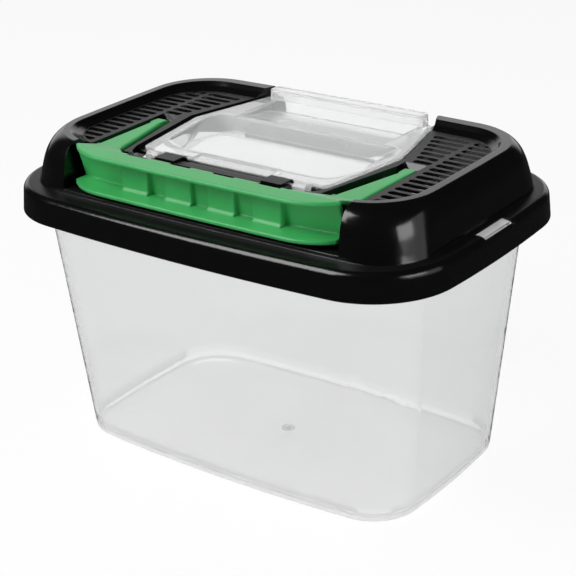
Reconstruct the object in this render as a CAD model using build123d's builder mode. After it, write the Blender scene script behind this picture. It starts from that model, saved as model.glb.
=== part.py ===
from build123d import *
import os

os.makedirs("parts", exist_ok=True)

# A carrying keeper for small animals: a clear tapered tank, a black lid with
# slotted vent decks, a clear feeding door hinged at its front edge and a green
# handle whose arms lie in channels of the lid. Millimetres, +Z up, the origin
# on the floor under the middle of the lid, the front towards -Y.

# ---- tank ---------------------------------------------------------------
tank_height = 168.0
tank_base_length = 242.0
tank_base_depth = 145.6
tank_top_length = 270.2
tank_top_depth = 175.2
tank_base_corner = 30.5
tank_top_corner = 33.5
tank_side_bow = 3.5
tank_front_bow = 6.5
tank_wall = 2.2
tank_floor = 2.7
tank_edge_round = 3.5
tank_floor_fillet = 3.0
rim_reach = 4.0
rim_thickness = 2.0
tongue_length = 30.0
tongue_height = 1.6
tongue_bevel = 0.9
tongue_bevel_reach = 4.5
tongue_clearance = 0.6
tongue_overlap = 1.0
tongue_shoulder_step = 3.0

# ---- lid: brim and crown --------------------------------------------------
lid_length = 300.0
lid_depth = 205.2
lid_wall = 2.0
brim_height = 16.6
brim_taper = 1.4
brim_corner = 51.3
brim_side_bow = 5.6
brim_front_bow = 6.5
brim_top_round = 4.5
rim_rib_thickness = 1.6
rim_rib_height = 9.0
rim_rib_clearance = 0.4
rim_rib_spacing = 60.0

crown_height = 29.0
crown_foot_length = 275.4
crown_foot_front = 86.5
crown_foot_back = 88.0
crown_foot_corner = 34.0
crown_waist_height = 15.0
crown_waist_length = 269.0
crown_waist_front = 84.6
crown_waist_back = 86.4
crown_waist_corner = 36.0
crown_shoulder_height = 24.8
crown_shoulder_length = 262.0
crown_shoulder_front = 80.5
crown_shoulder_back = 83.4
crown_shoulder_corner = 37.0
crown_top_length = 255.6
crown_top_front = 74.8
crown_top_back = 80.0
crown_top_corner = 38.5
crown_side_bow = 1.2
crown_front_bow = 3.0

# ---- lid: sunk deck and its slots ------------------------------------------
deck_drop = 4.7
deck_thickness = 2.0
deck_length = 238.0
deck_front = 61.5
deck_back = 65.0
deck_corner = 28.0
cove_drop = 2.6
cove_length = 242.6
cove_front = 66.0
cove_back = 69.8
cove_corner = 30.0
ridge_inner_length = 245.4
ridge_inner_front = 70.8
ridge_inner_back = 72.8
ridge_inner_corner = 32.0
slot_width = 4.8
slot_pitch = 7.2
slot_first_y = -53.0
slot_rows = 16
short_slot_rows = 7
outer_slot_start = 100.2
inner_slot_end = 97.2
inner_slot_start = 85.3
inner_slot_shift = 2.1
slot_margin = 1.0

# ---- door -------------------------------------------------------------------
door_wall = 2.0
door_rim_drop = 0.5
door_front_half = 66.0
door_front_y = -47.6
door_widest_half = 75.0
door_widest_y = 14.0
door_back_half = 60.5
door_back_y = 74.0
door_corner = 4.0
chin_half = 28.3
chin_drop = 3.6
chin_back_y = -38.3
chin_front_y = -46.2
tray_depth = 7.2
tray_front_y = -31.0
tray_front_half = 55.0
tray_widest_half = 62.6
tray_widest_y = -8.0
tray_back_half = 53.0
tray_back_y = 20.5
tray_mouth_front_y = -37.5
tray_mouth_front_half = 61.0
tray_mouth_widest_half = 69.6
tray_mouth_widest_y = 14.0
tray_mouth_back_half = 65.5
tray_mouth_back_y = 28.5
tray_front_corner = 16.0
tray_back_corner = 8.0
dip_front_y = 30.0
dip_half = 54.0
dip_front_drop = 0.8
dip_back_depth = 6.4
lip_half = 57.5
lip_front_y = 66.5
lip_depth = 10.0
lip_height = 6.9
lip_round = 4.0
door_gap = 1.2
door_seat_gap = 0.3
ledge_width = 3.0
recess_flare = 3.8

# ---- door hinge -------------------------------------------------------------
hinge_y = -53.0
hinge_drop = 2.5
hinge_pin_radius = 1.7
hinge_clearance = 0.08
knuckle_radius = 3.2
knuckle_inner = 48.6
knuckle_length = 8.4
hinge_pin_length = 9.4
hinge_arm_thickness = 3.0
bracket_inner = 31.0
bracket_outer = 45.0
bracket_rise = 0.9
bracket_back_y = -49.4
bracket_pocket_radius = 2.7
bracket_pocket_length = 6.0
bracket_mouth_length = 2.0
bracket_round = 2.6
trough_depth = 6.7
trough_front_y = -55.5
bay_half = 48.0
bay_front_y = -64.2
bay_corner_half = 60.0
bay_corner_y = -62.6
bay_outer_half = 66.4
bay_outer_y = -57.4
bay_corner_round = 4.5
trough_corner_round = 1.0
bar_drop = 0.7
bar_groove = 2.6
screen_rib_y = -51.9
screen_rib_thickness = 1.0
screen_rib_drop = 2.2

# ---- handle ------------------------------------------------------------------
pivot_y = -1.0
pivot_drop = 5.0
pivot_pin_radius = 2.6
pivot_clearance = 0.08
arm_end_radius = 4.3
arm_end_half = 87.0
arm_outer = 94.4
arm_front_half = 75.6
arm_front_y = -57.6
arm_height = 6.6
arm_wall = 2.2
arm_round = 1.9
ramp_back_half = 57.0
ramp_end_inset = 3.0
ramp_thickness = 2.4
grip_half = 104.0
grip_back_y = -73.8
grip_front_y = -88.5
grip_bow = 1.6
grip_corner = 39.0
grip_tip_round = 1.4
grip_wall = 2.2
grip_height = 23.2
grip_foot_half = 105.0
grip_foot_front_y = -90.2
web_foot_mid_y = -75.5
web_foot_end_y = -69.0
web_top_bow = 0.6
web_half = 93.0
pad_width = 19.4
pad_first_x = 15.3
pad_second_x = 47.1
pad_proud = 2.2
pad_foot = 1.7
notch_depth = 1.6
notch_width = 14.6

# ---- handle channels, front cut-out and rear finger bay of the lid -------------
channel_outer = 96.3
channel_front_half = 69.8
channel_mouth_flare = 3.0
channel_back_half = 82.0
channel_back_y = 8.2
channel_ramp = 5.0
channel_depth = 7.6
well_front_y = -7.0
cutout_half = 98.0
cutout_back_y = -61.6
cutout_floor_rise = 2.4
rear_bay_y = 52.0

# ---- levels and places that follow ---------------------------------------------
shelf_top = tank_height + lid_wall
brim_bottom = shelf_top - brim_height
crown_top = shelf_top + crown_height
deck_top = crown_top - deck_drop
deck_underside = deck_top - deck_thickness
door_top = deck_top - door_rim_drop
ledge_top = door_top - door_wall - door_seat_gap
ledge_underside = ledge_top - lid_wall
hinge_z = deck_top - hinge_drop
trough_floor = deck_top - trough_depth
channel_floor = deck_top - channel_depth
cutout_floor = shelf_top + cutout_floor_rise
pivot_z = deck_top - pivot_drop
arm_bottom = channel_floor + door_seat_gap
arm_top = arm_bottom + arm_height
grip_top = crown_top
grip_bottom = grip_top - grip_height
tray_floor = door_top - tray_depth
opening_front_y = door_front_y - door_gap + lid_wall
opening_back_y = rear_bay_y - lid_wall
door_taper = (door_widest_half - door_back_half) / (door_back_y - door_widest_y)
opening_back_half = door_widest_half - ledge_width - door_taper * (opening_back_y - door_widest_y)
rear_bay_half = door_back_half - ledge_width
dip_front_z = door_top - dip_front_drop
dip_back_z = door_top - dip_back_depth
dip_slope = (dip_front_z - dip_back_z) / (lip_front_y - dip_front_y)
dip_over_bay_z = dip_front_z - dip_slope * (rear_bay_y - dip_front_y)
bay_wall_top = dip_over_bay_z - door_wall - door_seat_gap
beyond = 40.0
slot_rows_y = [slot_first_y + row * slot_pitch for row in range(slot_rows)]
tongue_start = tank_top_length / 2 + rim_reach - tongue_overlap
tongue_shoulder = tongue_start + tongue_shoulder_step
sides = (-1, 1)


def bowed_outline(length, front, back, corner, side_bow, front_bow):
    """Rounded rectangle whose four sides are shallow outward arcs."""
    half = length / 2
    side = half - side_bow
    front_end = front_bow - front
    back_end = back - front_bow
    middle = (back - front) / 2
    with BuildLine() as outline:
        ThreePointArc((-side, front_end), (0, -front), (side, front_end))
        ThreePointArc((side, front_end), (half, middle), (side, back_end))
        ThreePointArc((side, back_end), (0, back), (-side, back_end))
        ThreePointArc((-side, back_end), (-half, middle), (-side, front_end))
    face = make_face(outline.edges())
    fillet(face.vertices(), corner)


def tank_outline(share, grow):
    """Tank plan at a share of its height, grown outwards."""
    length = tank_base_length + share * (tank_top_length - tank_base_length) + 2 * grow
    depth = tank_base_depth + share * (tank_top_depth - tank_base_depth) + 2 * grow
    corner = tank_base_corner + share * (tank_top_corner - tank_base_corner) + grow
    bowed_outline(length, depth / 2, depth / 2, corner, tank_side_bow, tank_front_bow)


def brim_outline(taper):
    """Brim plan, drawn in by a taper."""
    half_depth = lid_depth / 2 - taper
    length = lid_length - 2 * taper
    bowed_outline(length, half_depth, half_depth, brim_corner - taper, brim_side_bow, brim_front_bow)


def crown_outline(length, front, back, corner, wall):
    """Crown plan at one level, drawn in by a wall."""
    inside = (length - 2 * wall, front - wall, back - wall, corner - wall)
    bowed_outline(*inside, crown_side_bow, crown_front_bow)


def mirrored_polygon(points, corners=()):
    """Closed polygon from its right half, front to back, with corner radii."""
    left = [(-x, y) for x, y in reversed(points)]
    Polygon(*points, *left, align=None)
    for (x, y), radius in zip(points, corners):
        for side in (-1, 1):
            fillet(vertices().sort_by_distance((side * x, y, 0))[0], radius)


def door_outline(margin):
    """Outline of the door, grown by a margin."""
    mirrored_polygon(
        [
            (door_front_half + margin, door_front_y - margin),
            (door_widest_half + margin, door_widest_y),
            (door_back_half + margin, door_back_y + margin),
        ],
        3 * [door_corner],
    )


def recess_outline(margin, back_y):
    """Door recess, which runs out at the back through the ridge."""
    mirrored_polygon(
        [
            (door_front_half + margin, door_front_y - door_gap),
            (door_widest_half + margin, door_widest_y),
            (door_back_half + margin, door_back_y - ledge_width),
            (door_back_half + door_gap, door_back_y + ledge_width),
            (door_back_half + door_gap, back_y),
        ]
    )


def trough_outline(grow):
    """Trough round the hinge, with a bay in front of each knuckle."""
    mirrored_polygon(
        [
            (bay_half - grow, trough_front_y - grow),
            (bay_half - grow, bay_front_y - grow),
            (bay_corner_half + grow, bay_corner_y - grow),
            (bay_outer_half + grow, bay_outer_y - grow),
            (door_front_half + recess_flare + grow, door_front_y - door_gap),
        ],
        2 * [trough_corner_round + grow] + 2 * [bay_corner_round + grow],
    )


def channel_outline(side, grow):
    """Channel beside the door in which one handle arm lies."""
    Polygon(
        (side * (channel_front_half - grow), cutout_back_y),
        (side * (channel_front_half - grow - channel_mouth_flare), cutout_back_y - beyond),
        (side * (channel_outer + grow), cutout_back_y - beyond),
        (side * (channel_outer + grow), channel_back_y + grow),
        (side * (channel_back_half - grow), channel_back_y + grow),
        (side * (channel_back_half - grow), pivot_y),
        align=None,
    )


def tray_outline(margin):
    """Floor of the door's feeding tray, grown by a margin."""
    mirrored_polygon(
        [
            (tray_front_half + margin, tray_front_y - margin),
            (tray_widest_half + margin, tray_widest_y),
            (tray_back_half + margin, tray_back_y + margin),
        ],
        [tray_front_corner, tray_back_corner, tray_back_corner],
    )


def tray_mouth_outline(margin):
    """Mouth of the feeding tray at the door's top, grown by a margin."""
    mirrored_polygon(
        [
            (tray_mouth_front_half + margin, tray_mouth_front_y - margin),
            (tray_mouth_widest_half + margin, tray_mouth_widest_y),
            (tray_mouth_back_half + margin, tray_mouth_back_y + margin),
        ],
        [tray_front_corner, tray_back_corner, tray_back_corner],
    )


def opening_outline():
    """Opening under the door, from the hinge trough to the rear finger bay."""
    mirrored_polygon(
        [
            (door_front_half - ledge_width, opening_front_y),
            (door_widest_half - ledge_width, door_widest_y),
            (opening_back_half, opening_back_y),
        ]
    )


def rear_bay_outline(grow):
    """Finger bay under the door's lip, open to the back."""
    mirrored_polygon(
        [
            (opening_back_half + grow, rear_bay_y - grow),
            (rear_bay_half + grow, door_back_y),
            (rear_bay_half + grow, lid_depth),
        ]
    )


def arm_outline(side, inset):
    """Tapered handle arm seen from above, drawn in by an inset."""
    back_y = pivot_y - arm_end_radius - inset
    Polygon(
        (side * (arm_front_half + inset), arm_front_y + inset),
        (side * (arm_outer - inset), arm_front_y + inset),
        (side * (arm_outer - inset), back_y),
        (side * (arm_end_half + inset), back_y),
        align=None,
    )


def grip_outline(half, front_y):
    """Flange of the grip: a front that bows forward and swings back at its ends."""
    with BuildLine() as outline:
        ThreePointArc((-half, front_y + grip_bow), (0, front_y), (half, front_y + grip_bow))
        Polyline(
            (half, front_y + grip_bow), (half, pivot_y), (-half, pivot_y), (-half, front_y + grip_bow)
        )
    face = make_face(outline.edges())
    fillet(face.vertices().group_by(Axis.Y)[0], grip_corner)


def round_grip_tips():
    """Rounds the two pointed ends of a flange."""
    tips = vertices().group_by(Axis.X)
    fillet(tips[0] + tips[-1], grip_tip_round)


def clear_behind_web(mid_y, end_y):
    """Takes away what lies behind the grip's web at one level."""
    with BuildLine() as outline:
        ThreePointArc((-web_half, end_y), (0, mid_y), (web_half, end_y))
        Polyline((web_half, end_y), (web_half, 0), (-web_half, 0), (-web_half, end_y))
    make_face(outline.edges(), mode=Mode.SUBTRACT)


def web_strip(mid_y, end_y, thickness):
    """Thin curved strip that the grip's web follows at one level."""
    with BuildLine() as outline:
        ThreePointArc((-web_half, end_y), (0, mid_y), (web_half, end_y))
        Line((web_half, end_y), (web_half, end_y + thickness))
        ThreePointArc(
            (web_half, end_y + thickness), (0, mid_y + thickness), (-web_half, end_y + thickness)
        )
        Line((-web_half, end_y + thickness), (-web_half, end_y))
    make_face(outline.edges())


# ---- tank -----------------------------------------------------------------
with BuildPart() as tank:
    with BuildSketch():
        tank_outline(0.0, 0.0)
    with BuildSketch(Plane.XY.offset(tank_height)):
        tank_outline(1.0, 0.0)
    loft(ruled=True)
    fillet(tank.faces().sort_by(Axis.Z)[0].edges(), tank_edge_round)
    with BuildSketch(Plane.XY.offset(tank_height - rim_thickness)):
        tank_outline(1.0, rim_reach)
    extrude(amount=rim_thickness)

    # one tongue on each end of the rim stands in a window of the lid
    tongue_foot = tank_height - rim_thickness
    tongue_top = tank_height + tongue_height
    tongue_end = lid_length / 2 - brim_taper - lid_wall - tongue_clearance
    for side in sides:
        with BuildSketch(Plane.XZ.offset(-tongue_length / 2)):
            Polygon(
                (side * tongue_start, tongue_foot),
                (side * tongue_end, tongue_foot),
                (side * tongue_end, tongue_top - tongue_bevel),
                (side * (tongue_end - tongue_bevel_reach), tongue_top),
                (side * tongue_shoulder, tongue_top),
                (side * tongue_shoulder, tank_height),
                (side * tongue_start, tank_height),
                align=None,
            )
        extrude(amount=tongue_length)

    # the inside, from the floor to the mouth
    floor_share = tank_floor / tank_height
    with BuildSketch(Plane.XY.offset(tank_floor)):
        tank_outline(floor_share, -tank_wall)
    with BuildSketch(Plane.XY.offset(tank_height)):
        tank_outline(1.0, -tank_wall)
    loft(ruled=True, mode=Mode.SUBTRACT)
    floor_face = tank.faces().filter_by(Axis.Z).sort_by(Axis.Z)[1]
    fillet(floor_face.edges(), tank_floor_fillet)

tank.part.label = "tank"
export_step(tank.part, "parts/tank.step")

# ---- lid: space under the roof ------------------------------------------------
crown_levels = [
    (0.0, crown_foot_length, crown_foot_front, crown_foot_back, crown_foot_corner),
    (crown_waist_height, crown_waist_length, crown_waist_front, crown_waist_back, crown_waist_corner),
    (
        crown_shoulder_height,
        crown_shoulder_length,
        crown_shoulder_front,
        crown_shoulder_back,
        crown_shoulder_corner,
    ),
    (crown_height, crown_top_length, crown_top_front, crown_top_back, crown_top_corner),
]

with BuildPart() as hollow:
    for height, *crown_size in crown_levels[:3]:
        with BuildSketch(Plane.XY.offset(shelf_top + height)):
            crown_outline(*crown_size, lid_wall)
    loft()
    with BuildSketch(Plane.XY.offset(shelf_top - lid_wall)):
        crown_outline(*crown_levels[0][1:], lid_wall)
    extrude(amount=lid_wall)
    with BuildSketch(Plane.XY.offset(brim_bottom)):
        brim_outline(lid_wall)
    with BuildSketch(Plane.XY.offset(shelf_top - lid_wall)):
        brim_outline(brim_taper + lid_wall)
    loft(ruled=True)
    # the roof that stays: deck, door recess, hinge trough, channels, cut-out
    with BuildSketch(Plane.XY.offset(deck_underside)):
        bowed_outline(
            deck_length + 2 * lid_wall,
            deck_front + lid_wall,
            deck_back + lid_wall,
            deck_corner + lid_wall,
            crown_side_bow,
            crown_front_bow,
        )
    extrude(amount=beyond, mode=Mode.SUBTRACT)
    with BuildSketch(Plane.XY.offset(ledge_underside)):
        recess_outline(recess_flare + lid_wall, door_back_y + beyond)
    extrude(amount=beyond, mode=Mode.SUBTRACT)
    with BuildSketch(Plane.XY.offset(trough_floor - lid_wall)):
        trough_outline(lid_wall)
    extrude(amount=beyond, mode=Mode.SUBTRACT)
    for side in sides:
        with BuildSketch(Plane.XY.offset(channel_floor - lid_wall)):
            channel_outline(side, lid_wall)
        extrude(amount=beyond, mode=Mode.SUBTRACT)
        # the space behind the ramp that ends each channel
        with BuildSketch(Plane.YZ.offset(side * (channel_back_half - lid_wall))):
            Polygon(
                (channel_back_y + lid_wall, deck_underside),
                (channel_back_y + lid_wall, channel_floor - lid_wall),
                (channel_back_y + lid_wall - channel_ramp, channel_floor - lid_wall),
                align=None,
            )
        extrude(amount=side * (channel_outer - channel_back_half + 2 * lid_wall))
    with BuildSketch(Plane.XY.offset(cutout_floor - lid_wall)):
        with Locations((0, cutout_back_y + lid_wall)):
            Rectangle(2 * (cutout_half + lid_wall), lid_depth, align=(Align.CENTER, Align.MAX))
        rear_bay_outline(lid_wall)
    extrude(amount=beyond, mode=Mode.SUBTRACT)
    # groove that keeps the hinge bar a thin wall
    bar_top = deck_top - bar_drop
    with BuildSketch(Plane.XY.offset(cutout_floor)):
        with Locations((0, cutout_back_y + lid_wall)):
            Rectangle(2 * (bay_half - 2 * lid_wall), bar_groove, align=(Align.CENTER, Align.MIN))
    extrude(amount=bar_top - lid_wall - cutout_floor)
    # ribs left standing inside the brim, which centre the lid on the tank's rim
    rib_depth_start = tank_top_depth / 2 + rim_reach + rim_rib_clearance
    rib_side_start = tank_top_length / 2 + rim_reach + rim_rib_clearance
    with BuildSketch(Plane.XY.offset(tank_height - rim_rib_height)):
        for side in sides:
            for share in (-1, 0, 1):
                with Locations((share * rim_rib_spacing, side * (rib_depth_start + lid_depth / 2) / 2)):
                    Rectangle(rim_rib_thickness, lid_depth / 2 - rib_depth_start)
            for share in sides:
                with Locations((side * (rib_side_start + lid_length / 2) / 2, share * rim_rib_spacing / 2)):
                    Rectangle(lid_length / 2 - rib_side_start, rim_rib_thickness)
    extrude(amount=rim_rib_height + lid_wall, mode=Mode.SUBTRACT)


# ---- lid -----------------------------------------------------------------------
with BuildPart() as lid:
    with BuildSketch(Plane.XY.offset(brim_bottom)):
        brim_outline(0.0)
    with BuildSketch(Plane.XY.offset(shelf_top)):
        brim_outline(brim_taper)
    loft(ruled=True)
    fillet(lid.faces().sort_by(Axis.Z)[-1].edges(), brim_top_round)
    for height, *crown_size in crown_levels:
        with BuildSketch(Plane.XY.offset(shelf_top + height)):
            crown_outline(*crown_size, 0.0)
    loft()
    add(hollow.part, mode=Mode.SUBTRACT)

    # sunk deck with a coved border inside the ridge
    with BuildSketch(Plane.XY.offset(deck_top)):
        bowed_outline(
            deck_length, deck_front, deck_back, deck_corner, crown_side_bow, crown_front_bow
        )
    with BuildSketch(Plane.XY.offset(crown_top - cove_drop)):
        bowed_outline(
            cove_length, cove_front, cove_back, cove_corner, crown_side_bow, crown_front_bow
        )
    with BuildSketch(Plane.XY.offset(crown_top)):
        bowed_outline(
            ridge_inner_length,
            ridge_inner_front,
            ridge_inner_back,
            ridge_inner_corner,
            crown_side_bow,
            crown_front_bow,
        )
    loft(ruled=True, mode=Mode.SUBTRACT)

    # rear finger bay, and front cut-out with the two hinge bays in its back wall
    with BuildSketch(Plane.XY.offset(cutout_floor)):
        rear_bay_outline(0.0)
        with Locations((0, cutout_back_y)):
            Rectangle(2 * cutout_half, lid_depth, align=(Align.CENTER, Align.MAX))
    extrude(amount=beyond, mode=Mode.SUBTRACT)
    with BuildSketch(Plane.XY.offset(trough_floor - lid_wall)):
        trough_outline(lid_wall)
    extrude(amount=trough_depth + lid_wall)

    # channels for the handle arms, with a well and a ramp at their rear ends
    for side in sides:
        with BuildSketch(Plane.XY.offset(channel_floor)):
            channel_outline(side, 0.0)
        extrude(amount=beyond, mode=Mode.SUBTRACT)
        well_middle = side * (channel_outer + channel_back_half) / 2
        with BuildSketch(Plane.XY.offset(channel_floor)):
            with Locations((well_middle, channel_back_y)):
                Rectangle(
                    channel_outer - channel_back_half,
                    channel_back_y - well_front_y,
                    align=(Align.CENTER, Align.MAX),
                )
        extrude(amount=-lid_wall, mode=Mode.SUBTRACT)
        with BuildSketch(Plane.YZ.offset(side * channel_back_half)):
            Polygon(
                (channel_back_y, deck_top),
                (channel_back_y - channel_ramp, channel_floor - lid_wall),
                (channel_back_y - channel_ramp + lid_wall, channel_floor - lid_wall),
                (channel_back_y + lid_wall / 2, deck_underside),
                (channel_back_y + lid_wall / 2, deck_top),
                align=None,
            )
        extrude(amount=side * (channel_outer - channel_back_half))

    # hinge trough, and the bar in front of it
    with BuildSketch(Plane.XY.offset(trough_floor)):
        trough_outline(0.0)
    extrude(amount=beyond, mode=Mode.SUBTRACT)
    with BuildSketch(Plane.XY.offset(bar_top)):
        with Locations((0, trough_front_y)):
            Rectangle(2 * bay_half, beyond, align=(Align.CENTER, Align.MAX))
    extrude(amount=beyond, mode=Mode.SUBTRACT)
    with BuildSketch(Plane.XY.offset(trough_floor)):
        with Locations((0, screen_rib_y)):
            Rectangle(2 * chin_half, screen_rib_thickness)
    extrude(amount=trough_depth - screen_rib_drop)

    # door recess with flared sides, open at the back, and its seat ledge
    with BuildSketch(Plane.XY.offset(ledge_top)):
        recess_outline(door_gap, door_back_y + beyond)
    with BuildSketch(Plane.XY.offset(deck_top)):
        recess_outline(recess_flare, door_back_y + beyond)
    loft(ruled=True, mode=Mode.SUBTRACT)
    with BuildSketch(Plane.XY.offset(deck_top)):
        recess_outline(recess_flare, door_back_y + beyond)
    extrude(amount=beyond, mode=Mode.SUBTRACT)
    with BuildSketch(Plane.XY.offset(ledge_top)):
        opening_outline()
    extrude(amount=-lid_wall, mode=Mode.SUBTRACT)
    # the wall in front of the finger bay passes under the door's dip
    with BuildSketch(Plane.XY.offset(bay_wall_top)):
        with Locations((0, rear_bay_y + door_gap)):
            Rectangle(
                2 * (dip_half + door_wall + door_gap),
                lid_wall + 2 * door_gap,
                align=(Align.CENTER, Align.MAX),
            )
    extrude(amount=beyond, mode=Mode.SUBTRACT)

    # hinge brackets with a bore through each
    bracket_top = deck_top + bracket_rise
    for side in sides:
        with BuildSketch(Plane.YZ.offset(side * bracket_inner)):
            bracket = Polygon(
                (cutout_back_y, bar_top - lid_wall),
                (cutout_back_y, bracket_top),
                (bracket_back_y, bracket_top),
                (bracket_back_y, trough_floor - lid_wall / 2),
                (trough_front_y - lid_wall / 2, trough_floor - lid_wall / 2),
                (trough_front_y - lid_wall / 2, bar_top - lid_wall),
                align=None,
            )
            back_corner = bracket.vertices().group_by(Axis.Y)[-1].sort_by(Axis.X)[-1]
            fillet(back_corner, bracket_round)
        extrude(amount=side * (bracket_outer - bracket_inner))
        with BuildSketch(Plane.YZ.offset(side * bracket_inner)):
            with Locations((hinge_y, hinge_z)):
                Circle(hinge_pin_radius + hinge_clearance)
        extrude(amount=side * (bracket_outer - bracket_inner), mode=Mode.SUBTRACT)
        for start, length in (
            (bracket_inner, bracket_pocket_length),
            (bracket_outer, -bracket_mouth_length),
        ):
            with BuildSketch(Plane.YZ.offset(side * start)):
                with Locations((hinge_y, hinge_z)):
                    Circle(bracket_pocket_radius)
            extrude(amount=side * length, mode=Mode.SUBTRACT)

    # vent slots of both decks
    with BuildSketch(Plane.XY, mode=Mode.PRIVATE) as slot_field:
        bowed_outline(
            deck_length - 2 * slot_margin,
            deck_front - slot_margin,
            deck_back - slot_margin,
            deck_corner - slot_margin,
            crown_side_bow,
            crown_front_bow,
        )
    with BuildSketch(Plane.XY.offset(deck_top)):
        for side in sides:
            outer_length = crown_foot_length / 2 - outer_slot_start
            for y in slot_rows_y:
                with Locations((side * (outer_slot_start + outer_length / 2), y)):
                    SlotOverall(outer_length, slot_width)
            for row, y in enumerate(slot_rows_y[-short_slot_rows:]):
                start = inner_slot_start - row * inner_slot_shift
                with Locations((side * (start + inner_slot_end) / 2, y)):
                    SlotOverall(inner_slot_end - start, slot_width)
        add(slot_field.sketch_local, mode=Mode.INTERSECT)
    extrude(amount=-deck_thickness, mode=Mode.SUBTRACT)

    for side in sides:
        # hole for the handle pivot in the channel's outer wall
        with BuildSketch(Plane.YZ.offset(side * channel_outer)):
            with Locations((pivot_y, pivot_z)):
                Circle(pivot_pin_radius + pivot_clearance)
        extrude(amount=side * lid_wall, mode=Mode.SUBTRACT)
        # window over the tank's tongue
        window_start = tongue_shoulder - tongue_clearance
        with BuildSketch(Plane.XY.offset(tank_height - tongue_clearance)):
            with Locations((side * (window_start + beyond / 2), 0)):
                Rectangle(beyond, tongue_length + 2 * tongue_clearance)
        extrude(amount=beyond, mode=Mode.SUBTRACT)

lid.part.label = "lid"
export_step(lid.part, "parts/lid.step")

# ---- door -----------------------------------------------------------------------
with BuildPart() as door:
    with BuildSketch(Plane.XY.offset(door_top - door_wall)):
        door_outline(0.0)
    extrude(amount=door_wall)
    # outside of the tray, of the finger dip and of the lip
    with BuildSketch(Plane.XY.offset(tray_floor - door_wall)):
        tray_outline(door_wall)
    with BuildSketch(Plane.XY.offset(door_top - door_wall)):
        tray_mouth_outline(door_wall)
    loft(ruled=True)
    with BuildSketch(Plane.YZ.offset(-chin_half - door_wall)):
        Polygon(
            (chin_front_y, door_top),
            (chin_front_y, door_top - chin_drop - door_wall),
            (chin_back_y, door_top - door_wall),
            (chin_back_y + door_wall, door_top),
            align=None,
        )
    extrude(amount=2 * (chin_half + door_wall))
    with BuildSketch(Plane.YZ.offset(-dip_half - door_wall)):
        Polygon(
            (dip_front_y, door_top),
            (dip_front_y, dip_front_z - door_wall),
            (lip_front_y, dip_back_z - door_wall),
            (lip_front_y + door_wall, dip_back_z - door_wall),
            (lip_front_y + door_wall, door_top),
            align=None,
        )
    extrude(amount=2 * (dip_half + door_wall))
    with BuildSketch(Plane.XY.offset(door_top - door_wall)):
        with Locations((0, lip_front_y)):
            lip = Rectangle(2 * lip_half, lip_depth, align=(Align.CENTER, Align.MIN))
        fillet(lip.vertices(), lip_round)
    extrude(amount=lip_height + door_wall)
    fillet(door.faces().sort_by(Axis.Z)[-1].edges(), door_wall / 2)

    # hollow of the tray, of the dip and of the lip
    with BuildSketch(Plane.XY.offset(tray_floor)):
        tray_outline(0.0)
    with BuildSketch(Plane.XY.offset(door_top)):
        tray_mouth_outline(0.0)
    loft(ruled=True, mode=Mode.SUBTRACT)
    with BuildSketch(Plane.YZ.offset(-dip_half)):
        Polygon(
            (dip_front_y, door_top),
            (dip_front_y, dip_front_z),
            (lip_front_y, dip_back_z),
            (lip_front_y, door_top),
            align=None,
        )
    extrude(amount=2 * dip_half, mode=Mode.SUBTRACT)
    with BuildSketch(Plane.XY.offset(door_top + lip_height - door_wall)):
        with Locations((0, lip_front_y + door_wall)):
            lip = Rectangle(
                2 * (lip_half - door_wall), lip_depth - 2 * door_wall, align=(Align.CENTER, Align.MIN)
            )
        fillet(lip.vertices(), lip_round - door_wall)
    extrude(amount=-lip_height - door_wall, mode=Mode.SUBTRACT)
    # sloping chin between the hinge arms
    with BuildSketch(Plane.YZ.offset(-chin_half)):
        Polygon(
            (chin_back_y, door_top),
            (chin_front_y, door_top - chin_drop),
            (chin_front_y, door_top - chin_drop - door_wall),
            (door_front_y, door_top - chin_drop - door_wall),
            (door_front_y, door_top),
            align=None,
        )
    extrude(amount=2 * chin_half, mode=Mode.SUBTRACT)

    # a knuckle, its arm and its pin on each side
    for side in sides:
        with BuildSketch(Plane.YZ.offset(side * knuckle_inner)):
            with Locations((hinge_y, hinge_z)):
                Circle(knuckle_radius)
            arm_shoulder_y = hinge_y + knuckle_radius
            Polygon(
                (hinge_y, hinge_z - knuckle_radius / 2),
                (arm_shoulder_y - door_wall / 2, hinge_z - knuckle_radius / 2),
                (arm_shoulder_y, door_top - door_wall),
                (door_front_y + door_wall, door_top - door_wall),
                (door_front_y + door_wall, door_top),
                (hinge_y, door_top),
                align=None,
            )
        extrude(amount=side * knuckle_length)
        with BuildSketch(Plane.YZ.offset(side * knuckle_inner)):
            with Locations((hinge_y, hinge_z)):
                Circle(hinge_pin_radius)
        extrude(amount=-side * hinge_pin_length)

door.part.label = "door"
export_step(door.part, "parts/door.step")

# ---- handle -----------------------------------------------------------------------
grip_top_underside = grip_top - grip_wall
web_top_y = grip_back_y - grip_wall

with BuildPart() as ramps:
    with BuildSketch(Plane.YZ.offset(-arm_outer)):
        Polygon(
            (arm_front_y + arm_wall, arm_top),
            (arm_front_y, arm_top),
            (grip_back_y, grip_top),
            (web_top_y, grip_top),
            (web_top_y, grip_top_underside),
            (grip_back_y, grip_top_underside),
            (arm_front_y, arm_top - ramp_thickness),
            (arm_front_y + arm_wall, arm_top - ramp_thickness),
            align=None,
        )
    extrude(amount=2 * arm_outer)
    with BuildSketch(Plane.XY.offset(arm_bottom)):
        for side in sides:
            Polygon(
                (side * arm_front_half, arm_front_y + arm_wall),
                (side * arm_front_half, arm_front_y),
                (side * ramp_back_half, web_top_y),
                (side * (arm_outer - ramp_end_inset), web_top_y),
                (side * arm_outer, arm_front_y),
                (side * arm_outer, arm_front_y + arm_wall),
                align=None,
            )
    extrude(amount=beyond, mode=Mode.INTERSECT)

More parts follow.
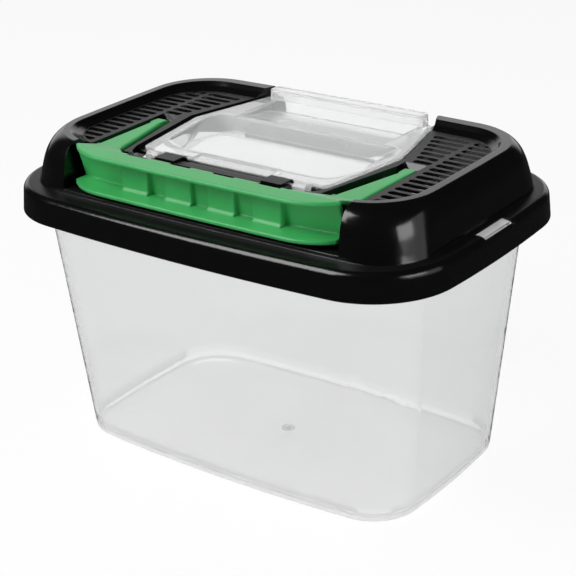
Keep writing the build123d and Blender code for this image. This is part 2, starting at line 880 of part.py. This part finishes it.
with BuildPart() as handle:
    for side in sides:
        with BuildSketch(Plane.XY.offset(arm_bottom)):
            arm_outline(side, 0.0)
        extrude(amount=arm_height)
        arm_face = handle.faces().filter_by(Axis.Z).group_by(Axis.Z)[-1].sort_by(Axis.X)[-1]
        fillet(arm_face.edges().sort_by(Axis.Y)[1:-1], arm_round)
        with BuildSketch(Plane.XY.offset(arm_bottom)):
            arm_outline(side, arm_wall)
        extrude(amount=arm_height - arm_wall, mode=Mode.SUBTRACT)
        # round end of the arm, and the pin that turns in the lid
        with BuildSketch(Plane.YZ.offset(side * arm_end_half)):
            with Locations((pivot_y, pivot_z)):
                Circle(arm_end_radius)
            with Locations((pivot_y, arm_top)):
                Rectangle(arm_end_radius + arm_wall, arm_height, align=(Align.MAX, Align.MAX))
        extrude(amount=side * (arm_outer - arm_end_half))
        with BuildSketch(Plane.YZ.offset(side * arm_outer)):
            with Locations((pivot_y, pivot_z)):
                Circle(pivot_pin_radius)
        extrude(amount=side * (channel_outer + lid_wall - door_seat_gap - arm_outer))
    add(ramps.part)

    # grip: a channel open to the front
    with BuildSketch(Plane.XY.offset(grip_top_underside)):
        grip_outline(grip_half, grip_front_y)
        with Locations((0, grip_back_y)):
            Rectangle(2 * grip_half, lid_depth, align=(Align.CENTER, Align.MIN), mode=Mode.SUBTRACT)
        round_grip_tips()
    extrude(amount=grip_wall)
    with BuildSketch(Plane.XY.offset(grip_bottom)):
        web_strip(web_foot_mid_y, web_foot_end_y, grip_wall)
    with BuildSketch(Plane.XY.offset(grip_top_underside)):
        web_strip(web_top_y, web_top_y + web_top_bow, grip_wall)
    loft(ruled=True)
    with BuildSketch(Plane.XY.offset(grip_bottom)):
        grip_outline(grip_foot_half, grip_foot_front_y)
        Rectangle(2 * web_half, lid_depth, mode=Mode.INTERSECT)
        clear_behind_web(web_foot_mid_y + grip_wall, web_foot_end_y + grip_wall)
    extrude(amount=grip_wall)
    # four pads on the web, each with a sloping foot
    grip_floor = grip_bottom + grip_wall
    web_back_y = web_foot_mid_y + grip_wall / 2
    for x in (-pad_second_x, -pad_first_x, pad_first_x, pad_second_x):
        for level, proud in (
            (grip_floor - grip_wall / 2, pad_proud + pad_foot),
            (grip_floor, pad_proud + pad_foot),
            (grip_floor + pad_foot, pad_proud),
            (grip_top_underside, pad_proud),
        ):
            with BuildSketch(Plane.XY.offset(level)):
                with Locations((x, web_back_y)):
                    Rectangle(pad_width, web_back_y - web_top_y + proud, align=(Align.CENTER, Align.MAX))
        loft(ruled=True)
        with BuildSketch(Plane.XY.offset(grip_top)):
            with Locations((x, grip_back_y)):
                Rectangle(notch_width, 2 * notch_depth)
        extrude(amount=-arm_height, mode=Mode.SUBTRACT)

handle.part.label = "handle"
export_step(handle.part, "parts/handle.step")
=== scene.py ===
import math

import bpy
import numpy as np
from mathutils import Matrix, Vector


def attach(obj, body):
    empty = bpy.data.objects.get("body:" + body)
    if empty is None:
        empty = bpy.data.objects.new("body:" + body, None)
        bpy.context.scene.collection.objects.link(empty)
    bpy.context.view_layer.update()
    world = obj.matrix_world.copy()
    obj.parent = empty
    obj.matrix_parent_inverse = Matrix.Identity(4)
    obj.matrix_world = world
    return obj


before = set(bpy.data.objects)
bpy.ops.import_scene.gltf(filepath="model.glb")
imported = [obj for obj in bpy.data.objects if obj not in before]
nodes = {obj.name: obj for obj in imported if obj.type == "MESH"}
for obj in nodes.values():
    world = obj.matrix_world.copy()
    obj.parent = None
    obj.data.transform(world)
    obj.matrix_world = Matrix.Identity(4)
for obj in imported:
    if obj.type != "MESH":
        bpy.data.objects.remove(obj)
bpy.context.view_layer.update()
print("frame loaded:", sorted(nodes))


# a shader socket that can be used in plain arithmetic
class Value:
    def __init__(self, recipe, socket):
        self.recipe = recipe
        self.socket = socket

    def maths(self, operation, first, second=0.0):
        return self.recipe.node("ShaderNodeMath", {"operation": operation}, {0: first, 1: second})

    def __add__(self, other):
        return self.maths("ADD", self, other)

    def __sub__(self, other):
        return self.maths("SUBTRACT", self, other)

    def __mul__(self, other):
        return self.maths("MULTIPLY", self, other)

    def __gt__(self, other):
        return self.maths("GREATER_THAN", self, other)

    def __lt__(self, other):
        return self.maths("LESS_THAN", self, other)

    def __radd__(self, other):
        return self.maths("ADD", other, self)

    def __rsub__(self, other):
        return self.maths("SUBTRACT", other, self)

    def __rmul__(self, other):
        return self.maths("MULTIPLY", other, self)


# the nodes of one material, or of the surroundings
class Recipe:
    def __init__(self, owner):
        self.owner = owner
        owner.use_nodes = True
        self.tree = owner.node_tree
        self.tree.nodes.clear()

    # any node: its kind, its settings first, then the values or links of its sockets
    def node(self, kind, settings=None, inputs=None, output=0):
        made = self.tree.nodes.new(kind)
        for key, value in (settings or {}).items():
            setattr(made, key, value)
        for key, value in (inputs or {}).items():
            if isinstance(value, Value):
                self.tree.links.new(value.socket, made.inputs[key])
            else:
                made.inputs[key].default_value = value
        return Value(self, made.outputs[output]) if len(made.outputs) else None

    def place(self):
        return self.node("ShaderNodeTexCoord", output="Object")

    def facing(self):
        return self.node("ShaderNodeTexCoord", output="Normal")

    def axis(self, vector, letter):
        return self.node("ShaderNodeSeparateXYZ", None, {0: vector}, output=letter)

    def noise(self, scale, detail=2.0, roughness=0.5):
        sizes = {"Vector": self.place(), "Scale": scale, "Detail": detail, "Roughness": roughness}
        return self.node("ShaderNodeTexNoise", None, sizes)

    # the same noise drawn out along one direction, for scuffs and flow marks
    def streaks(self, scale, stretch, turn, detail=2.0):
        sizes = {"Vector": self.place(), "Scale": stretch, "Rotation": (0.0, 0.0, turn)}
        turned = self.node("ShaderNodeMapping", None, sizes)
        return self.node("ShaderNodeTexNoise", None, {"Vector": turned, "Scale": scale, "Detail": detail})

    # 0 below low, 1 above high and a smooth step between
    def ramp(self, factor, low, high):
        sizes = {0: factor, 1: low, 2: high, 3: 0.0, 4: 1.0}
        return self.node("ShaderNodeMapRange", {"interpolation_type": "SMOOTHSTEP"}, sizes)

    # one colour turning into another
    def blend(self, factor, first, second):
        settings = {"data_type": "RGBA"}
        return self.node("ShaderNodeMix", settings, {0: factor, 6: first, 7: second}, output=2)

    def bump(self, height, distance, strength=1.0, normal=None):
        sizes = {"Height": height, "Distance": distance, "Strength": strength}
        if normal is not None:
            sizes["Normal"] = normal
        return self.node("ShaderNodeBump", None, sizes)

    def softEdges(self, radius, samples=4):
        return self.node("ShaderNodeBevel", {"samples": samples}, {"Radius": radius})

    def path(self, kind):
        return self.node("ShaderNodeLightPath", output=kind)

    def finish(self, shader, output="ShaderNodeOutputMaterial"):
        self.node(output, None, {"Surface": shader})
        return self.owner


def dress(piece, material):
    piece.data.materials.clear()
    piece.data.materials.append(material)


clearPlastic = {
    "tint": (0.89, 0.895, 0.895, 1.0),
    # painted light: the floor's colour is left untinted, lighter than the walls, against the shade under
    # the lid
    "floorPaintedLightTint": (1.0, 1.0, 1.0, 1.0),
    "clearness": 1.0,
    "ior": 1.46,
    "roughness": 0.03,
    "edgeRound": 0.0008,
    "shadow": (0.95, 0.95, 0.95, 1.0),
    # the foot of the walls fades, from the lower height to the upper one
    "alpha": 1.0,
    "footAlpha": 0.45,
    "foot": (0.0035, 0.012),
    # flow waves and smudges
    "waveScale": 40.0,
    "waviness": 0.00005,
    "smudgeScale": 28.0,
    "smudgeCover": (0.5, 0.8),
    "smudge": 0.05,
    # scuffs and specks on the floor; below the same height the floor also takes its untinted colour,
    # painted light
    "scuffAndPaintedLightBelow": 0.004,
    "scuffScale": 420.0,
    "scuffStretch": (1.0, 0.12, 1.0),
    "scuffTurn": 0.5,
    "scuffCover": (0.6, 0.72),
    "speckScale": 900.0,
    "speckCover": (0.66, 0.74),
    "scuffDepth": 0.000012,
    # milky places: beyond x on upward faces, between two lines across the dip, before a line in y
    "frost": (0.80, 0.80, 0.80, 1.0),
    "frostRoughness": 0.22,
    "frostSmudge": 0.1,
    "frostAlpha": 0.85,
    "frostBeyondX": (0.1381, 0.1389),
    "frostFacing": (0.1, 0.3),
    "frostDipStart": (1.0, 1.1),
    "frostDipEnd": (0.0655, 0.067),
    "frostBeforeY": -1.0,
    "frostAmount": 0.765,
    "frostPatchiness": 0.2,
}
doorPlastic = dict(
    clearPlastic,
    tint=(0.88, 0.885, 0.885, 1.0),
    clearness=0.80,
    roughness=0.04,
    edgeRound=0.0013,
    foot=(-1.0, -0.9),
    scuffAndPaintedLightBelow=-1.0,
    frostBeyondX=(1.0, 1.1),
    frostDipStart=(0.019, 0.027),
    frostBeforeY=-0.0475,
    frostAmount=0.09,
)


# Clear moulding: faint flow waves, smudged patches, fine scuffs on the floor and milky places
# where the wall is thick or textured: the tank's tongues, the door's finger dip and knuckles.
# The floor is left untinted, a painted lightening that stands in for light the lid's shade keeps off it.
def makeClear(name, values):
    recipe = Recipe(bpy.data.materials.new(name))
    height = recipe.axis(recipe.place(), "Z")
    wave = recipe.noise(values["waveScale"], 1.0)
    streaks = recipe.streaks(values["scuffScale"], values["scuffStretch"], values["scuffTurn"])
    scuffs = recipe.ramp(streaks, *values["scuffCover"])
    scuffs = scuffs + recipe.ramp(recipe.noise(values["speckScale"], 1.0), *values["speckCover"])
    onFloor = height < values["scuffAndPaintedLightBelow"]
    aboveFoot = recipe.ramp(height, *values["foot"])
    smudge = recipe.ramp(recipe.noise(values["smudgeScale"], 3.0), *values["smudgeCover"])
    edges = recipe.softEdges(values["edgeRound"])
    waves = recipe.bump(wave, values["waviness"], 1.0, edges)
    shader = recipe.node(
        "ShaderNodeBsdfPrincipled",
        None,
        {
            # painted light: the floor takes the untinted colour, so it reads lighter than the shade under
            # the lid leaves it
            "Base Color": recipe.blend(onFloor, values["tint"], values["floorPaintedLightTint"]),
            "Roughness": values["roughness"] + values["smudge"] * smudge,
            "IOR": values["ior"],
            "Transmission Weight": values["clearness"],
            "Alpha": values["footAlpha"] + aboveFoot * (values["alpha"] - values["footAlpha"]),
            "Normal": recipe.bump(scuffs * onFloor, values["scuffDepth"], 1.0, waves),
        },
    )
    frosted = recipe.node(
        "ShaderNodeBsdfPrincipled",
        None,
        {
            "Base Color": values["frost"],
            "Roughness": values["frostRoughness"] + values["frostSmudge"] * smudge,
            "IOR": values["ior"],
            "Alpha": values["frostAlpha"],
            "Normal": waves,
        },
    )
    across = recipe.axis(recipe.place(), "X")
    across = across.maths("ABSOLUTE", across)
    along = recipe.axis(recipe.place(), "Y")
    upward = recipe.ramp(recipe.axis(recipe.facing(), "Z"), *values["frostFacing"])
    tongue = recipe.ramp(across, *values["frostBeyondX"]) * upward
    dip = recipe.ramp(along, *values["frostDipStart"])
    dip = dip * (1.0 - recipe.ramp(along, *values["frostDipEnd"]))
    knuckle = along < values["frostBeforeY"]
    milky = tongue + dip + knuckle
    milky = milky * (values["frostAmount"] + values["frostPatchiness"] * smudge)
    shader = recipe.node("ShaderNodeMixShader", None, {0: milky, 1: shader, 2: frosted})
    shadow = recipe.node("ShaderNodeBsdfTransparent", None, {"Color": values["shadow"]})
    inputs = {0: recipe.path("Is Shadow Ray"), 1: shader, 2: shadow}
    return recipe.finish(recipe.node("ShaderNodeMixShader", None, inputs))


blackPlastic = {
    "gloss": (0.0026, 0.0026, 0.0028, 1.0),
    "satin": (0.010, 0.010, 0.0105, 1.0),
    "ior": 1.5,
    "glossRoughness": 0.13,
    "satinRoughness": 0.40,
    "level": (0.95, 0.985),
    "edgeRound": 0.0011,
    # sharper edges between these heights, where the slots are
    "slotRound": 0.0003,
    "slotsRise": (0.1900, 0.1915),
    "slotsFall": (0.1955, 0.1965),
    # satin between the first two heights, a rougher cut-out floor between the other two
    "deck": (0.1925, 0.1972),
    "cutout": (0.1695, 0.1732),
    "cutoutRoughness": 0.42,
    "peelScale": 160.0,
    "orangePeel": 0.00004,
    "grainScale": 1500.0,
    "grainDepth": 0.00006,
    "grainStrength": 0.6,
    "cloudScale": 60.0,
    "cloudRoughness": 0.05,
    "dustScale": 2600.0,
    "dustCover": (0.72, 0.78),
    "dustless": 0.85,
    "dust": 0.3,
}


# Gloss walls with a slight orange peel, and a fine satin grain on the sunk deck and its frame.
def makeBlack(name, values):
    recipe = Recipe(bpy.data.materials.new(name))
    height = recipe.axis(recipe.place(), "Z")
    level = recipe.ramp(recipe.axis(recipe.facing(), "Z"), *values["level"])
    deck = level * (height > values["deck"][0]) * (height < values["deck"][1])
    cutout = level * (height > values["cutout"][0]) * (height < values["cutout"][1])
    grain = recipe.noise(values["grainScale"], 2.0, 0.6) * deck
    cloud = recipe.noise(values["cloudScale"], 3.0)
    dust = recipe.ramp(recipe.noise(values["dustScale"], 1.0), *values["dustCover"])
    dust = values["dustless"] + values["dust"] * dust
    slots = recipe.ramp(height, *values["slotsRise"]) * (1.0 - recipe.ramp(height, *values["slotsFall"]))
    wide = recipe.softEdges(values["edgeRound"])
    narrow = recipe.softEdges(values["slotRound"])
    inputs = {0: slots, 4: wide, 5: narrow}
    edges = recipe.node("ShaderNodeMix", {"data_type": "VECTOR"}, inputs, output=1)
    peel = recipe.bump(recipe.noise(values["peelScale"], 1.0), values["orangePeel"], 1.0, edges)
    roughness = values["glossRoughness"] + values["cloudRoughness"] * cloud
    roughness = roughness + deck * (values["satinRoughness"] - values["glossRoughness"])
    roughness = roughness + cutout * (values["cutoutRoughness"] - values["glossRoughness"])
    shader = recipe.node(
        "ShaderNodeBsdfPrincipled",
        None,
        {
            "Base Color": recipe.blend(deck * dust, values["gloss"], values["satin"]),
            "Roughness": roughness,
            "IOR": values["ior"],
            "Normal": recipe.bump(grain, values["grainDepth"], values["grainStrength"], peel),
        },
    )
    return recipe.finish(shader)


greenPlastic = {
    "body": (0.020, 0.400, 0.084, 1.0),
    "flow": (0.030, 0.440, 0.104, 1.0),
    "ior": 1.5,
    "roughness": 0.36,
    "cloudRoughness": 0.08,
    "specular": 0.9,
    "sheen": 0.12,
    "sheenRoughness": 0.45,
    "cloudScale": 35.0,
    "cloudCover": (0.35, 0.75),
    "grainScale": 900.0,
    "grainDepth": 0.00003,
    "grainStrength": 0.5,
    "edgeRound": 0.0022,
}


# Satin green, a touch paler in slow clouds where the melt flowed.
def makeGreen(name, values):
    recipe = Recipe(bpy.data.materials.new(name))
    cloud = recipe.noise(values["cloudScale"], 3.0)
    flow = recipe.ramp(cloud, *values["cloudCover"])
    grain = recipe.noise(values["grainScale"], 2.0, 0.6)
    edges = recipe.softEdges(values["edgeRound"], 6)
    shader = recipe.node(
        "ShaderNodeBsdfPrincipled",
        None,
        {
            "Base Color": recipe.blend(flow, values["body"], values["flow"]),
            "Roughness": values["roughness"] + values["cloudRoughness"] * cloud,
            "IOR": values["ior"],
            "Specular IOR Level": values["specular"],
            "Sheen Weight": values["sheen"],
            "Sheen Roughness": values["sheenRoughness"],
            "Normal": recipe.bump(grain, values["grainDepth"], values["grainStrength"], edges),
        },
    )
    return recipe.finish(shader)


dress(nodes["tank"], makeClear("clear_plastic", clearPlastic))
dress(nodes["door"], makeClear("door_plastic", doorPlastic))
dress(nodes["lid"], makeBlack("black_plastic", blackPlastic))
dress(nodes["handle"], makeGreen("green_plastic", greenPlastic))
print("finishes made")


gateMark = {
    "colour": (0.70, 0.70, 0.70, 1.0),
    "roughness": 0.25,
    "grain": 0.2,
    "grainScale": 1500.0,
    "alpha": 0.4,
    "place": (0.0, 0.0),
    "floor": 0.0027,
    "sunk": 0.00005,
    "rise": 0.0001,
    "ringRadius": 0.0042,
    "ringWidth": 0.0006,
    "ringHeight": 0.00035,
    "nubRadius": 0.0011,
    "nubTip": 0.6,
    "nubHeight": 0.0007,
    "steps": 48,
}


# A profile turned about an upright axis: point (k, j) lies at the profile's radius and height k,
# turned by j steps of a full circle; the first and last radius are nought, which closes it.
def turnProfile(name, profile, middle, steps, material, body):
    profile = np.asarray(profile, dtype=float)
    angles = np.linspace(0.0, 2.0 * np.pi, steps, endpoint=False)
    inner = profile[1:-1]
    ring = np.stack(
        [
            middle[0] + inner[:, :1] * np.cos(angles),
            middle[1] + inner[:, :1] * np.sin(angles),
            np.repeat(inner[:, 1:], steps, axis=1),
        ],
        axis=-1,
    ).reshape(-1, 3)
    ends = [[middle[0], middle[1], profile[0, 1]], [middle[0], middle[1], profile[-1, 1]]]
    points = np.vstack([ring, ends])
    rows = len(inner)
    row, step = np.meshgrid(np.arange(rows - 1), np.arange(steps), indexing="ij")
    following = (step + 1) % steps
    corners = [row * steps + step, row * steps + following]
    corners = corners + [(row + 1) * steps + following, (row + 1) * steps + step]
    quads = np.stack(corners, axis=-1).reshape(-1, 4).tolist()
    turn = np.arange(steps)
    after = (turn + 1) % steps
    first = np.stack([np.full(steps, rows * steps), after, turn], axis=-1).tolist()
    top = (rows - 1) * steps
    last = np.stack([np.full(steps, rows * steps + 1), top + turn, top + after], axis=-1).tolist()
    mesh = bpy.data.meshes.new(name)
    mesh.from_pydata(points.tolist(), [], quads + first + last)
    mesh.shade_smooth()
    piece = bpy.data.objects.new(name, mesh)
    bpy.context.scene.collection.objects.link(piece)
    mesh.materials.append(material)
    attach(piece, body)
    return piece


# The round mark that the mould's gate left in the middle of the tank's floor: a flat disc with a
# low ring at its rim and a nub in its middle, given as the profile of a turned piece.
def makeGateMark(values):
    recipe = Recipe(bpy.data.materials.new("gate_frost"))
    roughness = values["roughness"] + values["grain"] * recipe.noise(values["grainScale"], 2.0)
    inputs = {"Base Color": values["colour"], "Roughness": roughness, "Alpha": values["alpha"]}
    finish = recipe.finish(recipe.node("ShaderNodeBsdfPrincipled", None, inputs))
    bottom = values["floor"] + values["sunk"]
    base = values["floor"] + values["rise"]
    crest = values["floor"] + values["ringHeight"]
    tip = values["floor"] + values["nubHeight"]
    outer = values["ringRadius"]
    inner = outer - values["ringWidth"]
    nub = values["nubRadius"]
    profile = [(0.0, bottom), (outer, bottom), (outer, base), ((outer + inner) / 2, crest)]
    profile += [(inner, base), (nub, base), (nub * values["nubTip"], tip), (0.0, tip)]
    turnProfile("gate_mark", profile, values["place"], values["steps"], finish, "tank")


makeGateMark(gateMark)
print("gate mark made")


studio = {
    "floorSize": 6.0,
    "floorDrop": 0.0004,
    "floorColour": (0.9, 0.9, 0.9, 1.0),
    "white": (1.0, 1.0, 1.0, 1.0),
    "floorGlow": 0.88,
    "floorInGloss": 0.03,
    "surround": 0.352,
    "backInGloss": 0.96,
    "frontInGloss": 0.016,
    "backWay": (-0.59, 0.81, 0.0),
    "backSpread": (0.75, 0.9),
    "backTop": (0.44, 0.56),
}


# White to the camera and through the clear plastic, matte for light, dark in the gloss.
def makeFloor(values):
    half = values["floorSize"] / 2
    corners = np.array([[-half, -half, 0], [half, -half, 0], [half, half, 0], [-half, half, 0]])
    mesh = bpy.data.meshes.new("floor")
    mesh.from_pydata((corners - [0, 0, values["floorDrop"]]).tolist(), [], [(0, 1, 2, 3)])
    floor = bpy.data.objects.new("floor", mesh)
    bpy.context.scene.collection.objects.link(floor)
    recipe = Recipe(bpy.data.materials.new("floor_white"))
    matte = recipe.node("ShaderNodeBsdfDiffuse", None, {"Color": values["floorColour"]})
    white = recipe.node("ShaderNodeEmission", None, {"Strength": 1.0})
    dark = recipe.node("ShaderNodeEmission", None, {"Strength": values["floorInGloss"]})
    throughClear = recipe.path("Is Transmission Ray")
    direct = (recipe.path("Is Camera Ray") + throughClear) * values["floorGlow"]
    plain = recipe.node("ShaderNodeMixShader", None, {0: direct, 1: matte, 2: white})
    inGloss = recipe.path("Is Glossy Ray") * (1.0 - throughClear)
    finish = recipe.node("ShaderNodeMixShader", None, {0: inGloss, 1: plain, 2: dark})
    mesh.materials.append(recipe.finish(finish))


# White to the camera and through the clear plastic. In the gloss it is a pale backdrop low down
# behind the keeper and dark elsewhere, as in a studio with black flags at the front.
def makeSurround(values):
    world = bpy.data.worlds.new("surround")
    bpy.context.scene.world = world
    recipe = Recipe(world)
    way = recipe.node("ShaderNodeTexCoord", output="Generated")
    settings = {"operation": "DOT_PRODUCT"}
    towardsBack = recipe.node("ShaderNodeVectorMath", settings, {0: way, 1: values["backWay"]}, output=1)
    height = recipe.axis(way, "Z")
    behind = recipe.ramp(towardsBack, *values["backSpread"])
    behind = behind * (1.0 - recipe.ramp(height, *values["backTop"]))
    gloss = values["frontInGloss"] + behind * (values["backInGloss"] - values["frontInGloss"])
    inGloss = recipe.path("Is Glossy Ray")
    seen = recipe.path("Is Camera Ray") + recipe.path("Is Transmission Ray")
    seen = seen.maths("MINIMUM", seen, 1.0)
    strength = inGloss * gloss + (1.0 - inGloss) * values["surround"]
    strength = seen + (1.0 - seen) * strength
    inputs = {"Color": values["white"], "Strength": strength}
    recipe.finish(recipe.node("ShaderNodeBackground", None, inputs), "ShaderNodeOutputWorld")


lamps = {
    "key": {"place": (-0.66, -0.94, 1.25), "size": (0.9, 1.0), "power": 20.0},
    "rightPanel": {"place": (1.39, 0.07, 0.45), "size": (1.2, 0.9), "power": 3.0},
    "rightSpot": {"place": (1.42, -0.22, 0.62), "size": (0.7, 0.5), "power": 4.6},
}


# a soft panel that points at the keeper and is seen in its gloss only
def makeLamp(name, values, target=(0.0, 0.0, 0.12)):
    lamp = bpy.data.lights.new(name, "AREA")
    lamp.shape = "RECTANGLE"
    lamp.size, lamp.size_y = values["size"]
    lamp.energy = values["power"]
    holder = bpy.data.objects.new(name, lamp)
    holder.location = values["place"]
    aim = Vector(target) - Vector(values["place"])
    holder.rotation_euler = aim.to_track_quat("-Z", "Y").to_euler()
    holder.visible_camera = False
    holder.visible_transmission = False
    bpy.context.scene.collection.objects.link(holder)


# the photograph's viewpoint, from the outline curves of base, brim and crown
camera = {
    "target": (0.00265, -0.00045, 0.1005),
    "azimuth": 36.38,
    "elevation": 23.67,
    "distance": 0.9906,
    "roll": -1.76,
    "focalPixels": 1610.56,
    "imagePixels": 576.0,
}


def makeCamera(values):
    azimuth = math.radians(values["azimuth"])
    elevation = math.radians(values["elevation"])
    roll = math.radians(values["roll"])
    back = Vector(
        (
            math.sin(azimuth) * math.cos(elevation),
            -math.cos(azimuth) * math.cos(elevation),
            math.sin(elevation),
        )
    )
    level = Vector((math.cos(azimuth), math.sin(azimuth), 0.0))
    upright = back.cross(level)
    right = level * math.cos(roll) + upright * math.sin(roll)
    up = upright * math.cos(roll) - level * math.sin(roll)
    turn = Matrix((right, up, back)).transposed()
    data = bpy.data.cameras.new("camera")
    data.lens = data.sensor_width * values["focalPixels"] / values["imagePixels"]
    holder = bpy.data.objects.new("camera", data)
    holder.rotation_euler = turn.to_euler()
    holder.location = Vector(values["target"]) + back * values["distance"]
    bpy.context.scene.collection.objects.link(holder)
    bpy.context.scene.camera = holder


makeFloor(studio)
makeSurround(studio)
for lampName, lampValues in lamps.items():
    makeLamp(lampName, lampValues)
makeCamera(camera)
bpy.context.scene.view_settings.view_transform = "Standard"
print("studio made")
